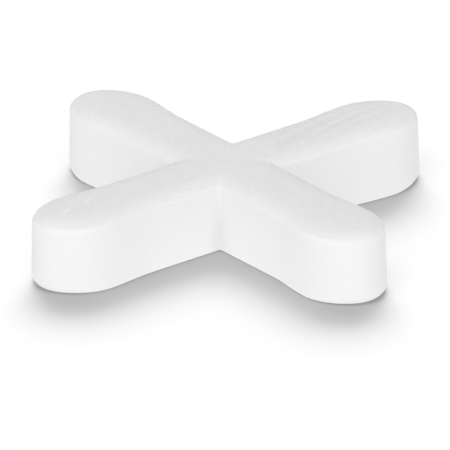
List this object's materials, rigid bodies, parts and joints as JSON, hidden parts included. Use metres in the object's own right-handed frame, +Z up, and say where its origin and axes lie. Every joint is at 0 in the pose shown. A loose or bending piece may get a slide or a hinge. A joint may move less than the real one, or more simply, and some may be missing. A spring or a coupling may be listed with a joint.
{
  "type": "tile spacer",
  "caption": "Cross-shaped moulded tile spacer with straight arms, gently widened rounded ends and a crowned top.",
  "frame": {"origin": "middle of the cross, on the plane of the flat underside", "axes": "+Z up through the thickness, from the flat underside to the crowned top; the arms lie along X and Y"},
  "size_m": [0.028, 0.028, 0.0045],
  "materials": {
    "white_plastic": "satin white moulded plastic with a fine grain on the top"
  },
  "bodies": {
    "root": {"tile_spacer": "white_plastic"}
  },
  "joints": []
}
